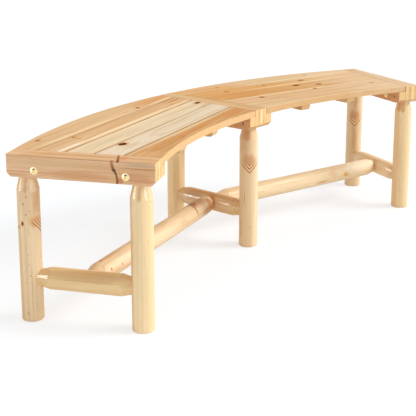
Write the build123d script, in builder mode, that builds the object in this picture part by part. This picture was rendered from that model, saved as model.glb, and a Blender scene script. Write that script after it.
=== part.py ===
from build123d import *
import os
from math import cos, radians, sin, sqrt

# Curved log bench: two seat modules meet at a centre rail, on three pairs of log legs.
# X runs along the bench, the concave front edge faces -Y, Z is up and the feet stand on Z = 0.
# The origin is under the middle of the whole bench. Millimetres and degrees.

# Plan of the seat
inner_radius = 1360.0  # concave front edge
seat_depth = 400.0  # front arc to back arc, and the length of the rails
end_place = 28.8  # where an end rail stands on the arc, from the centre rail
end_turn = 25.4  # how far an end rail is turned from the centre rail

# Seat boards
seat_height = 455.0
board_thickness = 20.0
boards_per_module = 5
back_board_width = 108.0  # at the middle of a module, where the back arc bulges most
front_board_width = 59.5  # at the middle of a module, where the front arc cuts deepest
board_gap = 2.5
board_end_gap = 0.8
board_edge_bevel = 1.2
board_corner_radius = 2.5

# Rails across the seat, and the cleats on them that carry the boards' ends
rail_thickness = 56.0
rail_height = 60.0
rail_outer_round = 3.5
cleat_thickness = 28.0
corner_clip = 11.0  # 45 degree cut at the lower end corners
edge_bevel = 1.2

# Battens under the middle of each module
batten_width = 38.0
batten_thickness = 20.0
batten_offset = 104.0  # either side of the module's middle
batten_inset = 12.0  # from the seat's arcs
batten_clip = 7.0

# Logs: legs and stretchers
log_diameter = 60.0
leg_inset = 46.0  # leg axis from the end of its rail
stretcher_height = 118.0
foot_bevel = 2.5

# Hand-cut neck at the end of a log: wide and narrow flats in turn
neck_corner_radius = 21.0  # at the tip, over the corners between the flats
neck_length = 42.0
facet_pairs = 5
wide_facet = 46.0  # angle that a wide flat spans
facet_runout = 0.4  # how far outside the round the wide flats end
saddle_clearance = 0.2  # between a stretcher's neck and the log it meets
saddle_overlap = 1.0  # neck stock inside that log's round before the saddle is cut

# Round tenons
tenon_diameter = 28.0
tenon_bevel = 2.0
leg_tenon_length = 34.0
cross_tenon_reach = 34.0  # into a leg, from its surface
long_tenon_reach = 22.0  # into a cross stretcher, from its surface
tenon_clearance = 0.2
tenon_end_clearance = 1.0

# Connector bolts and cap nuts through rail and cleats
bolt_wall = 13.5  # wood between a leg's tenon and the bolt
bolt_diameter = 8.0
bolt_end_clearance = 1.0
bolt_clearance = 0.2
cap_diameter = 20.0
cap_rim = 1.2
cap_crown = 3.3
socket_across_flats = 8.0
socket_depth = 3.2
sleeve_wall = 1.2
sleeve_length = 15.0
sleeve_clearance = 0.1

# Pan head screws
screw_diameter = 4.0
screw_head_diameter = 8.0
screw_head_height = 2.4
screw_tip_length = 4.0
screw_tip_diameter = 1.0
screw_clearance = 0.1
screw_head_clearance = 0.5
screw_end_clearance = 0.5
cleat_screw_wall = 2.0  # wood between a leg's tenon and the screw
cleat_screw_sink = 7.0  # seat of the head below the cleat's face
cleat_screw_hold = 20.0  # length in the rail
board_screw_sink = 3.0  # seat of the head below a batten's face
board_screw_hold = 10.0  # length in the board

# Derived sizes
log_radius = log_diameter / 2
tenon_radius = tenon_diameter / 2
outer_radius = inner_radius + seat_depth
middle_radius = inner_radius + seat_depth / 2
half_rail = rail_thickness / 2
rail_bottom = seat_height - rail_height
board_bottom = seat_height - board_thickness
cleat_height = board_bottom - rail_bottom
batten_bottom = board_bottom - batten_thickness
screw_seat_height = batten_bottom + board_screw_sink
fastener_height = rail_bottom + cleat_height / 2
leg_offset = seat_depth / 2 - leg_inset
bolt_offset = leg_offset - tenon_radius - bolt_wall - bolt_diameter / 2
cleat_screw_offset = leg_offset + tenon_radius + cleat_screw_wall + screw_diameter / 2
end_board_screw_offset = (bolt_offset + cleat_screw_offset) / 2
sleeve_bore_radius = bolt_diameter / 2 + sleeve_clearance
sleeve_radius = sleeve_bore_radius + sleeve_wall
board_screw_length = batten_thickness - board_screw_sink + board_screw_hold
cleat_screw_length = cleat_thickness - cleat_screw_sink + cleat_screw_hold
neck_root_radius = (log_radius + facet_runout) / cos(radians(wide_facet / 2))
neck_start = sqrt(log_radius**2 - neck_corner_radius**2) - saddle_overlap  # from the axis it meets

# The boards of a module run along the chord between the middles of its rails
chord_turn = end_place / 2
chord_distance = middle_radius * cos(radians(chord_turn))
back_gap_offset = outer_radius - chord_distance - back_board_width
board_pitch = (seat_depth - back_board_width - front_board_width) / (boards_per_module - 2)

# The bench's own middle lies between the back of the arc and the front corners of the end rails
front_corner_y = (
    middle_radius * cos(radians(end_place))
    - (seat_depth / 2 - rail_outer_round) * cos(radians(end_turn))
    - (half_rail - rail_outer_round) * sin(radians(end_turn))
    - rail_outer_round
)
arc_centre_y = -(front_corner_y + outer_radius) / 2

modules = {"left": -1, "right": 1}
rails = {"left": -1, "centre": 0, "right": 1}
ends = {"front": -1, "back": 1}

# Cleats: the rail that each is on, and the way it faces along the rail frame's X
cleats = {"left": (-1, 1), "centre_left": (0, -1), "centre_right": (0, 1), "right": (1, -1)}


def rail_plane(rail, height=0.0):
    """Frame of a rail: X across it, to the right, and Y along it, to the back."""
    place = radians(rail * end_place)
    turn = radians(rail * end_turn)
    origin = (middle_radius * sin(place), arc_centre_y + middle_radius * cos(place), height)
    return Plane(origin=origin, x_dir=(cos(turn), -sin(turn), 0), z_dir=(0, 0, 1))


def module_plane(module, height=0.0):
    """Frame of a module: X along its boards, to the right, and origin midway between its rails."""
    middle = (rail_plane(0, height).origin + rail_plane(module, height).origin) / 2
    turn = radians(module * chord_turn)
    return Plane(origin=middle, x_dir=(cos(turn), -sin(turn), 0), z_dir=(0, 0, 1))


def facing_plane(frame, across, along, height, facing):
    """Plane at a local place of a frame that faces the frame's +X or -X."""
    origin = frame.from_local_coords((across, along, height))
    return Plane(origin=origin, x_dir=(0, 0, 1), z_dir=frame.x_dir * facing)


def up_plane(frame, across, along, height, direction=1):
    """Plane at a local place of a frame that faces up, or down where direction is -1."""
    origin = frame.from_local_coords((across, along, height))
    return Plane(origin=origin, x_dir=frame.x_dir, z_dir=(0, 0, direction))


def facings(rail):
    """Ways along a rail frame's X in which a module lies."""
    return [way for on_rail, way in cleats.values() if on_rail == rail]


def along_rail(rail, facing, across, offset):
    """Place along a rail of the line that lies at an offset from the chord of the module it faces."""
    module = rail or facing
    lean = radians(rail * end_turn - module * chord_turn)
    return (offset + across * sin(lean)) / cos(lean)


def board_edges(index):
    """Front and back of a board's strip, counted from the back; the outermost ones pass the arcs."""
    gaps = [back_gap_offset - i * board_pitch for i in range(boards_per_module - 1)]
    limits = [seat_depth, *gaps, -seat_depth]
    return limits[index + 1] + board_gap / 2, limits[index] - board_gap / 2


def arc_offset(across, radius):
    """Offset from the chord of an arc of the seat, at a distance from the module's middle."""
    return sqrt(radius**2 - across**2) - chord_distance


def batten_screw_offsets(across):
    """Middles of the boards where a batten crosses them."""
    middles = []
    for index in range(boards_per_module):
        front, back = board_edges(index)
        front = max(front, arc_offset(across, inner_radius) + batten_inset)
        back = min(back, arc_offset(across, outer_radius) - batten_inset)
        middles.append((front + back) / 2)
    return middles


def cleat_screw_places(rail, facing):
    """Places along a cleat of the screws into the boards that lie on it, back to front."""
    across = facing * (half_rail + cleat_thickness / 2)
    places = [end_board_screw_offset]
    for index in range(1, boards_per_module - 1):
        places.append(along_rail(rail, facing, across, sum(board_edges(index)) / 2))
    return [*places, -end_board_screw_offset]


def board_screw_seats(module):
    """Seats of the screws under a module, one list per board: on the cleats, then on the battens."""
    seats = [[] for _ in range(boards_per_module)]
    for rail, facing in cleats.values():
        if (rail or facing) == module:
            across = facing * (half_rail + cleat_thickness / 2)
            for seat, place in zip(seats, cleat_screw_places(rail, facing)):
                seat.append(up_plane(rail_plane(rail), across, place, screw_seat_height))
    for across in (-batten_offset, batten_offset):
        for seat, offset in zip(seats, batten_screw_offsets(across)):
            seat.append(up_plane(module_plane(module), across, offset, screw_seat_height))
    return seats


def bolt_run(rail):
    """Way in which a rail's bolts run, the place across the rail where they start, and their grip."""
    way = -rail or 1
    layers = 2 if rail == 0 else 1
    start = half_rail + (layers - 1) * cleat_thickness
    return way, -way * start, rail_thickness + layers * cleat_thickness


def bolt_planes(rail, across, facing):
    """Planes on a rail's two bolt axes."""
    frame = rail_plane(rail)
    return [
        facing_plane(frame, across, along, fastener_height, facing)
        for along in (-bolt_offset, bolt_offset)
    ]


def turned(place, profile):
    """Turned solid on the piece being built; profile corners are radius and height over the place."""
    side = Plane(origin=place.origin, x_dir=place.x_dir, z_dir=-place.y_dir)
    with BuildSketch(side) as section:
        with BuildLine():
            Polyline(*profile, close=True)
        make_face()
    revolve(section.sketch, axis=Axis(place.origin, place.z_dir))


def drill(place, radius, depth):
    """Round hole in the piece being built, to a depth under the place."""
    with Locations(place):
        Hole(radius, depth)


def drill_screw_head(place, seat_depth_below, depth):
    """Counterbored clearance hole for a screw, from the face at the place."""
    with Locations(place):
        CounterBoreHole(
            screw_diameter / 2 + screw_clearance,
            screw_head_diameter / 2 + screw_head_clearance,
            seat_depth_below,
            depth,
        )


def add_tenon(place, length):
    """Round tenon on the piece being built, with a bevelled tip."""
    profile = [
        (0, 0),
        (tenon_radius, 0),
        (tenon_radius, length - tenon_bevel),
        (tenon_radius - tenon_bevel, length),
        (0, length),
    ]
    turned(place, profile)


def cut_mortise(place, reach):
    """Round bore for a tenon that reaches to a depth under the place."""
    drill(place, tenon_radius + tenon_clearance, reach + tenon_end_clearance)


def add_screw(seat, length):
    """Pan head screw whose head bears on the seat and whose shank runs up from it."""
    shank = screw_diameter / 2
    profile = [
        (0, -screw_head_height),
        (screw_head_diameter / 2, -screw_head_height),
        (screw_head_diameter / 2, 0),
        (shank, 0),
        (shank, length - screw_tip_length),
        (screw_tip_diameter / 2, length),
        (0, length),
    ]
    turned(seat, profile)


def add_cap(place):
    """Low domed cap on the face at the place, with a hex socket in its top."""
    base = cap_diameter / 2
    dome_radius = (base**2 + cap_crown**2) / (2 * cap_crown)
    side = Plane(origin=place.origin, x_dir=place.x_dir, z_dir=-place.y_dir)
    with BuildSketch(side) as section:
        with BuildLine():
            Polyline((0, cap_rim + cap_crown), (0, 0), (base, 0), (base, cap_rim))
            ThreePointArc(
                (base, cap_rim),
                (base / 2, cap_rim + cap_crown - dome_radius + sqrt(dome_radius**2 - base**2 / 4)),
                (0, cap_rim + cap_crown),
            )
        make_face()
    revolve(section.sketch, axis=Axis(place.origin, place.z_dir))
    with BuildSketch(place.offset(cap_rim + cap_crown)) as socket:
        RegularPolygon(socket_across_flats / 2, 6, major_radius=False)
    extrude(socket.sketch, amount=-socket_depth, mode=Mode.SUBTRACT)


def facet_section(place, radius):
    """Section of a neck: corners on one circle, with wide and narrow flats between them."""
    corners = []
    for pair in range(facet_pairs):
        for angle in (pair * 360 / facet_pairs, pair * 360 / facet_pairs + wide_facet):
            corners.append((radius * cos(radians(angle)), radius * sin(radians(angle))))
    with BuildSketch(place) as section:
        Polygon(*corners, align=None)
    return section.sketch


def add_log(axis, length, neck_at_start):
    """Log along the axis plane's Z with a faceted neck at its end, and at its start where asked."""
    root = length - neck_length
    root_section = facet_section(axis.offset(root), neck_root_radius)
    loft([root_section, facet_section(axis.offset(length), neck_corner_radius)])
    start = 0
    if neck_at_start:
        start = neck_length
        start_section = facet_section(axis.offset(start), neck_root_radius)
        loft([facet_section(axis, neck_corner_radius), start_section])
    extrude(facet_section(axis.offset(start), neck_root_radius), amount=root - start)
    with BuildSketch(axis) as round_section:
        Circle(log_radius)
    extrude(round_section.sketch, amount=length, mode=Mode.INTERSECT)


def add_stretcher(start, end, start_axis, end_axis, reach):
    """Level log between two crossing logs, saddled on their rounds, with a tenon into each."""
    run = (end - start).normalized()
    axis = Plane(origin=start + run * neck_start, x_dir=(0, 0, 1), z_dir=run)
    add_log(axis, (end - start).length - 2 * neck_start, True)
    for point, direction in ((start, start_axis), (end, end_axis)):
        with BuildSketch(Plane(origin=point, z_dir=direction)) as crossing_log:
            Circle(log_radius + saddle_clearance)
        extrude(crossing_log.sketch, amount=log_diameter, both=True, mode=Mode.SUBTRACT)
    tenon_root = neck_start + neck_length
    for point, outwards in ((start, -run), (end, run)):
        root = Plane(origin=point - outwards * tenon_root, x_dir=(0, 0, 1), z_dir=outwards)
        add_tenon(root, tenon_root - log_radius + reach)


def add_clipped_bar(base, length, height, thickness, clip):
    """Bar that stands on the base plane along its Y, with its lower end corners cut at 45 degrees."""
    side = Plane(origin=base.origin, x_dir=base.y_dir, z_dir=base.x_dir)
    with BuildSketch(side) as profile:
        Rectangle(length, height, align=(Align.CENTER, Align.MIN))
        chamfer(profile.vertices().group_by(Axis.Y)[0], clip)
    extrude(profile.sketch, amount=thickness / 2, both=True)


def rim_edges(piece, direction):
    """Edges around the face of a piece that lies farthest along a direction."""
    return piece.faces().sort_by(Axis((0, 0, 0), direction))[-1].edges()


def save(piece, name):
    """Labels a finished piece and writes it as one STEP file."""
    piece.part.label = name
    export_step(piece.part, f"parts/{name}.step")


os.makedirs("parts", exist_ok=True)

# Legs: a foot on the floor, a neck and tenon into the rail, and a mortise for the cross stretcher
for rail_name, rail in rails.items():
    frame = rail_plane(rail)
    for end_name, end in ends.items():
        foot = up_plane(frame, 0, end * leg_offset, 0)
        inner_line = frame.from_local_coords((0, end * (leg_offset - log_radius), stretcher_height))
        mortise = Plane(origin=inner_line, x_dir=(0, 0, 1), z_dir=frame.y_dir * -end)
        with BuildPart() as leg:
            add_log(foot, rail_bottom, False)
            chamfer(leg.edges().group_by(Axis.Z)[0], foot_bevel)
            add_tenon(foot.offset(rail_bottom - neck_length), neck_length + leg_tenon_length)
            cut_mortise(mortise, cross_tenon_reach)
        save(leg, f"leg_{rail_name}_{end_name}")

# Cross stretchers, front leg to back leg, mortised at their middles for the long stretchers
for rail_name, rail in rails.items():
    frame = rail_plane(rail, stretcher_height)
    front_axis = frame.from_local_coords((0, -leg_offset, 0))
    back_axis = frame.from_local_coords((0, leg_offset, 0))
    with BuildPart() as cross_stretcher:
        add_stretcher(front_axis, back_axis, (0, 0, 1), (0, 0, 1), cross_tenon_reach)
        for facing in facings(rail):
            chord = module_plane(rail or facing).x_dir * facing
            surface = frame.origin + chord * log_radius
            cut_mortise(Plane(origin=surface, x_dir=(0, 0, 1), z_dir=chord), long_tenon_reach)
    save(cross_stretcher, f"cross_stretcher_{rail_name}")

# Long stretchers, from the middle of one cross stretcher to the middle of the next
for module_name, module in modules.items():
    near = rail_plane(0, stretcher_height)
    far = rail_plane(module, stretcher_height)
    with BuildPart() as long_stretcher:
        add_stretcher(near.origin, far.origin, near.y_dir, far.y_dir, long_tenon_reach)
    save(long_stretcher, f"long_stretcher_{module_name}")

# Rails: flush with the seat, on top of the legs, bored for tenons, bolts and cleat screws
for rail_name, rail in rails.items():
    frame = rail_plane(rail)
    base = rail_plane(rail, rail_bottom)
    way, bolt_start, bolt_grip = bolt_run(rail)
    with BuildPart() as cross_rail:
        add_clipped_bar(base, seat_depth, rail_height, rail_thickness, corner_clip)
        for face in facings(rail):
            chamfer(rim_edges(cross_rail, frame.x_dir * face), edge_bevel)
        if rail:
            fillet(rim_edges(cross_rail, frame.x_dir * rail), rail_outer_round)
        for end in ends.values():
            cut_mortise(up_plane(frame, 0, end * leg_offset, rail_bottom, -1), leg_tenon_length)
        for plane in bolt_planes(rail, bolt_start, -way):
            drill(plane, bolt_diameter / 2 + bolt_clearance, 2 * bolt_grip)
        for facing in facings(rail):
            side = facing * half_rail
            for end in ends.values():
                plane = facing_plane(frame, side, end * cleat_screw_offset, fastener_height, facing)
                drill(plane, screw_diameter / 2 + screw_clearance, cleat_screw_hold + screw_end_clearance)
    save(cross_rail, f"rail_{rail_name}")

# Cleats: bolted and screwed to the rails' sides, with a counterbored screw up into each board
for cleat_name, (rail, facing) in cleats.items():
    frame = rail_plane(rail)
    way, bolt_start, bolt_grip = bolt_run(rail)
    middle = facing * (half_rail + cleat_thickness / 2)
    face = facing * (half_rail + cleat_thickness)
    base = up_plane(frame, middle, 0, rail_bottom)
    with BuildPart() as cleat:
        add_clipped_bar(base, seat_depth, cleat_height, cleat_thickness, corner_clip)
        chamfer(rim_edges(cleat, frame.x_dir * facing), edge_bevel)
        for plane in bolt_planes(rail, bolt_start, -way):
            drill(plane, bolt_diameter / 2 + bolt_clearance, 2 * bolt_grip)
        if facing == way:
            for plane in bolt_planes(rail, face, facing):
                drill(plane, sleeve_radius + bolt_clearance, sleeve_length + bolt_end_clearance)
        for end in ends.values():
            plane = facing_plane(frame, face, end * cleat_screw_offset, fastener_height, facing)
            drill_screw_head(plane, cleat_screw_sink, 2 * cleat_thickness)
        for place in cleat_screw_places(rail, facing):
            plane = up_plane(frame, middle, place, rail_bottom, -1)
            drill_screw_head(plane, screw_seat_height - rail_bottom, 2 * cleat_height)
    save(cleat, f"cleat_{cleat_name}")

# Battens: across the boards of a module, with a screw up into each
for module_name, module in modules.items():
    frame = module_plane(module)
    for batten_name, place in (("outer", module), ("inner", -module)):
        across = place * batten_offset
        front = arc_offset(across, inner_radius) + batten_inset
        back = arc_offset(across, outer_radius) - batten_inset
        with BuildPart() as batten:
            base = up_plane(frame, across, (front + back) / 2, batten_bottom)
            add_clipped_bar(base, back - front, batten_thickness, batten_width, batten_clip)
            for face in (-1, 1):
                chamfer(rim_edges(batten, frame.x_dir * face), edge_bevel)
            for offset in batten_screw_offsets(across):
                plane = up_plane(frame, across, offset, batten_bottom, -1)
                drill_screw_head(plane, board_screw_sink, 2 * batten_thickness)
        save(batten, f"batten_{module_name}_{batten_name}")

# Seat boards: strips along the chord between the rails, the outermost cut to the arcs
for module_name, module in modules.items():
    module_cleats = [cleat for cleat in cleats.values() if (cleat[0] or cleat[1]) == module]
    for index in range(boards_per_module):
        front, back = board_edges(index)
        corners = []
        for (rail, facing), offsets in zip(module_cleats, ((front, back), (back, front))):
            across = facing * (half_rail + board_end_gap)
            for offset in offsets:
                along = along_rail(rail, facing, across, offset)
                corner = rail_plane(rail).from_local_coords((across, along, 0))
                corners.append((corner.X, corner.Y))
        with BuildPart() as board:
            with BuildSketch(Plane.XY.offset(board_bottom)):
                Polygon(*corners, align=None)
                with Locations((0, arc_centre_y)):
                    Circle(outer_radius, mode=Mode.INTERSECT)
                    Circle(inner_radius, mode=Mode.SUBTRACT)
            extrude(amount=board_thickness)
            fillet(board.edges().filter_by(Axis.Z), board_corner_radius)
            chamfer(board.edges().group_by(Axis.Z)[-1], board_edge_bevel)
            for seat in board_screw_seats(module)[index]:
                pilot = Plane(origin=(seat.origin.X, seat.origin.Y, board_bottom), z_dir=(0, 0, -1))
                drill(pilot, screw_diameter / 2 + screw_clearance, board_screw_hold + screw_end_clearance)
        save(board, f"board_{module_name}_{index + 1}")

# Bolts and cap nuts, one pair of each per rail
for rail_name, rail in rails.items():
    way, bolt_start, bolt_grip = bolt_run(rail)
    shank = bolt_diameter / 2
    tip = bolt_end_clearance - bolt_grip
    shank_profile = [(0, 0), (shank, 0), (shank, tip), (0, tip)]
    with BuildPart() as bolts:
        for plane in bolt_planes(rail, bolt_start, -way):
            add_cap(plane)
            turned(plane, shank_profile)
    save(bolts, f"bolts_{rail_name}")
    sleeve_profile = [
        (sleeve_bore_radius, 0),
        (sleeve_radius, 0),
        (sleeve_radius, -sleeve_length),
        (sleeve_bore_radius, -sleeve_length),
    ]
    with BuildPart() as nuts:
        for plane in bolt_planes(rail, bolt_start + way * bolt_grip, way):
            add_cap(plane)
            turned(plane, sleeve_profile)
    save(nuts, f"nuts_{rail_name}")

# Screws through the cleats into the rails
for cleat_name, (rail, facing) in cleats.items():
    frame = rail_plane(rail)
    seat_across = facing * (half_rail + cleat_thickness - cleat_screw_sink)
    with BuildPart() as cleat_screws:
        for end in ends.values():
            seat = facing_plane(frame, seat_across, end * cleat_screw_offset, fastener_height, -facing)
            add_screw(seat, cleat_screw_length)
    save(cleat_screws, f"cleat_screws_{cleat_name}")

# Screws through the cleats and battens into the boards
for module_name, module in modules.items():
    with BuildPart() as board_screws:
        for seats in board_screw_seats(module):
            for seat in seats:
                add_screw(seat, board_screw_length)
    save(board_screws, f"board_screws_{module_name}")
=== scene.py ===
import math
import random

import bmesh
import bpy
from mathutils import Euler, Matrix, Vector


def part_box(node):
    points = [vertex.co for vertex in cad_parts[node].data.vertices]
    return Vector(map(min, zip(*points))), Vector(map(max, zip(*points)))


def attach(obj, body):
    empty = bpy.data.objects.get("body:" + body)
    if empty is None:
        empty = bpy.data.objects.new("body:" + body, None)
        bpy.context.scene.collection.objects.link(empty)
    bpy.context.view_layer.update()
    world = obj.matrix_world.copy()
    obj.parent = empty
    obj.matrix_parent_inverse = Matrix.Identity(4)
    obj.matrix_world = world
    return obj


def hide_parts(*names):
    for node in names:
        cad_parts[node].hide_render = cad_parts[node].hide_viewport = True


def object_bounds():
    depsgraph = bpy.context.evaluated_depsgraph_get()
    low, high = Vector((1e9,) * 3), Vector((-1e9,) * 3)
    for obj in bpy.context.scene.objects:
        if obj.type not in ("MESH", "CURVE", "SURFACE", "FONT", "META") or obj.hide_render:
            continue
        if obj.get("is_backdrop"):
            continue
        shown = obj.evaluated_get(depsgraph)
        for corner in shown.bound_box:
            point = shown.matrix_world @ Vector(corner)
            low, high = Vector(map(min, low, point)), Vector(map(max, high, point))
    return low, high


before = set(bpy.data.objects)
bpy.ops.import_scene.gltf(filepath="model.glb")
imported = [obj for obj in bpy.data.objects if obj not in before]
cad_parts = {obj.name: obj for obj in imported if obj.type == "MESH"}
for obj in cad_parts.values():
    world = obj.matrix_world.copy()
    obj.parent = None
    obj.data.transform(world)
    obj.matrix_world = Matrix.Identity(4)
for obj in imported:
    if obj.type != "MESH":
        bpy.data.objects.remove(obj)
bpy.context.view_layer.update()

# Rustic curved log bench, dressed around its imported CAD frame. Metres, +Z up, concave front on -Y.

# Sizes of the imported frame

MIDDLE_RADIUS = 1.56  # of the arc that the middles of the three rails lie on
END_PLACE = math.radians(28.8)  # angle of an end rail's middle on that arc
END_TURN = math.radians(25.4)
SEAT_TOP = 0.455
BOARD_BOTTOM = 0.435
BATTEN_BOTTOM = 0.415
BOLT_HEIGHT = 0.415
RAIL_BOTTOM = 0.395
STRETCHER_HEIGHT = 0.118
HALF_RAIL = 0.028
LEG_OFFSET = 0.154  # of a leg's axis from its rail's middle
BOLT_OFFSET = 0.1225
LOG_RADIUS = 0.030
NECK_LENGTH = 0.042
NECK_INSIDE = 0.0204  # from a log's axis to the end of the stretcher that meets it
BOARDS = 5
BOARD_PITCH = 0.0775
BACK_GAP = 0.141  # place of the gap between the two backmost boards

low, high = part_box("rail_centre")
ARC_CENTRE_Y = (low.y + high.y) / 2 - MIDDLE_RADIUS

RAILS = {"left": -1, "centre": 0, "right": 1}
MODULES = {"left": -1, "right": 1}
ENDS = {"front": -1, "back": 1}
CLEATS = {"left": (-1, 1), "centre_left": (0, -1), "centre_right": (0, 1), "right": (1, -1)}
UP = Vector((0, 0, 1))


# Places: a matrix whose X runs along the grain of the piece


def rail_middle(rail):
    place = rail * END_PLACE
    return Vector((MIDDLE_RADIUS * math.sin(place), ARC_CENTRE_Y + MIDDLE_RADIUS * math.cos(place), 0))


def along_rail(rail):
    """Way from the front to the back of a rail."""
    turn = rail * END_TURN
    return Vector((math.sin(turn), math.cos(turn), 0))


def place_on(origin, grain, up):
    """Matrix at an origin with X along the grain and Z as near to up as it can be."""
    x = grain.normalized()
    y = up.cross(x).normalized()
    z = x.cross(y)
    matrix = Matrix((x, y, z)).transposed().to_4x4()
    matrix.translation = origin
    return matrix


def rail_place(rail, height):
    return place_on(rail_middle(rail) + UP * height, along_rail(rail), UP)


def module_place(module, height):
    turn = module * END_PLACE / 2
    middle = (rail_middle(0) + rail_middle(module)) / 2
    return place_on(middle + UP * height, Vector((math.cos(turn), -math.sin(turn), 0)), UP)


def leg_foot(rail, end):
    return rail_middle(rail) + along_rail(rail) * end * LEG_OFFSET


# Objects and node trees


def new_object(name, data):
    made = bpy.data.objects.new(name, data)
    bpy.context.scene.collection.objects.link(made)
    return made


def srgb(red, green, blue):
    """Linear colour of an 8-bit display colour."""
    shares = [channel / 255 for channel in (red, green, blue)]
    linear = [((share + 0.055) / 1.055) ** 2.4 if share > 0.04 else share / 12.92 for share in shares]
    return (*linear, 1)


def tinted(tone, red, green, blue):
    return (tone[0] * red, tone[1] * green, tone[2] * blue, 1)


class Tree:
    """Short calls for building a node tree; values may be numbers or sockets."""

    def __init__(self, tree):
        self.tree = tree

    def node(self, kind, inputs=(), **settings):
        made = self.tree.nodes.new(kind)
        for name, value in settings.items():
            setattr(made, name, value)
        for key, value in dict(inputs).items():
            self.put(made.inputs[key], value)
        return made

    def put(self, socket, value):
        if isinstance(value, bpy.types.NodeSocket):
            self.tree.links.new(value, socket)
        else:
            socket.default_value = value

    def math(self, operation, *values, clamp=False):
        made = self.node("ShaderNodeMath", enumerate(values), operation=operation, use_clamp=clamp)
        return made.outputs[0]

    def vector(self, operation, *values):
        made = self.node("ShaderNodeVectorMath", enumerate(values), operation=operation)
        return made.outputs["Value" if operation == "LENGTH" else "Vector"]

    def scaled(self, position, along, across):
        """The position, stretched by one factor along the grain and by another across it."""
        return self.vector("MULTIPLY", position, (along, across, across))

    def noise(self, position, detail, roughness=0.5):
        """Noise between 0 and 1."""
        return self.coloured_noise(position, detail, roughness).outputs[0]

    def push(self, position, detail=2.0):
        """Noise vector about zero."""
        noise = self.coloured_noise(position, detail, 0.5)
        return self.vector("SUBTRACT", noise.outputs["Color"], (0.5, 0.5, 0.5))

    def coloured_noise(self, position, detail, roughness):
        inputs = {"Vector": position, "Scale": 1.0, "Detail": detail, "Roughness": roughness}
        return self.node("ShaderNodeTexNoise", inputs)

    def rise(self, value, low, high):
        """Smooth rise from 0 at low to 1 at high."""
        inputs = {"Value": value, "From Min": low, "From Max": high}
        return self.node("ShaderNodeMapRange", inputs, interpolation_type="SMOOTHSTEP").outputs["Result"]

    def fall(self, value, low, high):
        """Smooth fall from 1 at low to 0 at high."""
        return self.math("SUBTRACT", 1, self.rise(value, low, high))

    def between(self, value, low, high):
        """A value from 0 to 1, mapped to low to high."""
        inputs = {"Value": value, "To Min": low, "To Max": high}
        return self.node("ShaderNodeMapRange", inputs).outputs["Result"]

    def mix(self, factor, first, second):
        made = self.node("ShaderNodeMix", {0: factor, 6: first, 7: second}, data_type="RGBA")
        return made.outputs[2]

    def part_mix(self, factor, share, first, second):
        """Mix by a share of a factor."""
        return self.mix(self.math("MULTIPLY", factor, share), first, second)

    def group(self, group, inputs):
        return self.node("ShaderNodeGroup", node_tree=group, inputs=inputs)

    def split(self, vector):
        return self.node("ShaderNodeSeparateXYZ", {0: vector}).outputs

    def join(self, x, y, z):
        return self.node("ShaderNodeCombineXYZ", {0: x, 1: y, 2: z}).outputs[0]

    def into(self, vector, place, origin=(0, 0, 0)):
        """A vector along an object's axes, given along the axes of a place and from an origin."""
        inputs = {"Vector": vector, "Location": origin, "Rotation": place.to_euler("XYZ")}
        return self.node("ShaderNodeMapping", inputs, vector_type="TEXTURE").outputs[0]

    def surface(self, kind, shader):
        """Output node of a kind, fed by a shader."""
        self.put(self.node(kind).inputs["Surface"], shader.outputs[0])


def emptied(owner):
    """Node tree of a material or world without the nodes that it starts with."""
    owner.use_nodes = True
    owner.node_tree.nodes.clear()
    return Tree(owner.node_tree)


VALUE = "NodeSocketFloat"
VECTOR = "NodeSocketVector"
COLOUR = "NodeSocketColor"


def new_group(name, inputs, outputs):
    """Shader group with sockets named by kind: the group, its tree, and the sockets inside it."""
    group = bpy.data.node_groups.new(name, "ShaderNodeTree")
    for side, sockets in (("INPUT", inputs), ("OUTPUT", outputs)):
        for kind, names in sockets.items():
            for socket in names.split(", "):
                group.interface.new_socket(socket, in_out=side, socket_type=kind)
    given = group.nodes.new("NodeGroupInput").outputs
    out = group.nodes.new("NodeGroupOutput").inputs
    return group, Tree(group), given, out


# Wood: softwood cut from a round trunk

RIPPLE = 0.0024
KNOT_PUSH = 0.008
TRUNK_TAPER = -0.006
KNOT_HALO = srgb(206, 124, 60)
KNOT_HEART = srgb(116, 60, 24)
KNOT_HEART_RING = srgb(70, 36, 10)
KNOT_BARK = srgb(46, 24, 6)


def growth_rings(t, given, moved):
    """Rings about a wandering pith, pushed aside round each knot: late wood, ring strength and colour."""
    sway = t.push(t.scaled(moved, 1.9, 5.0))
    ripple = t.push(t.scaled(moved, 9.0, 40.0), 3)
    reach = t.join(0, given["Wander"], given["Wander"])
    wandered = t.vector("MULTIPLY_ADD", sway, reach, given["Position"])
    wandered = t.vector("MULTIPLY_ADD", ripple, (0, RIPPLE, RIPPLE), wandered)
    from_pith = t.split(t.vector("SUBTRACT", wandered, given["Pith"]))
    depth = t.vector("LENGTH", t.join(0, from_pith[1], from_pith[2]))
    near_knot = t.math("DIVIDE", 1, t.math("ADD", 1, t.math("POWER", given["Knot"], 2.2)))
    radius = t.math("MULTIPLY_ADD", near_knot, KNOT_PUSH, depth)
    radius = t.math("MULTIPLY_ADD", from_pith[0], TRUNK_TAPER, radius)
    turns = t.math("DIVIDE", radius, given["Spacing"])
    phase = t.math("FRACT", turns)
    late = t.math("MULTIPLY", t.rise(phase, 0.30, 0.86), t.fall(phase, 0.90, 1.0))
    year = t.node("ShaderNodeTexWhiteNoise", {"W": t.math("FLOOR", turns)}, noise_dimensions="1D")
    ring = t.math("MULTIPLY", late, t.between(year.outputs["Value"], 0.35, 1.0))
    skin = t.rise(depth, t.math("SUBTRACT", given["Skin"], 0.004), given["Skin"])
    ring = t.math("MULTIPLY", ring, t.between(skin, 0.25, 1.0))
    ring = t.math("MULTIPLY", ring, given["Rings"])
    colour = t.mix(ring, given["Early"], given["Late"])
    return late, ring, t.mix(t.between(skin, 0.35, 0.0), colour, given["Late"])


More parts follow.
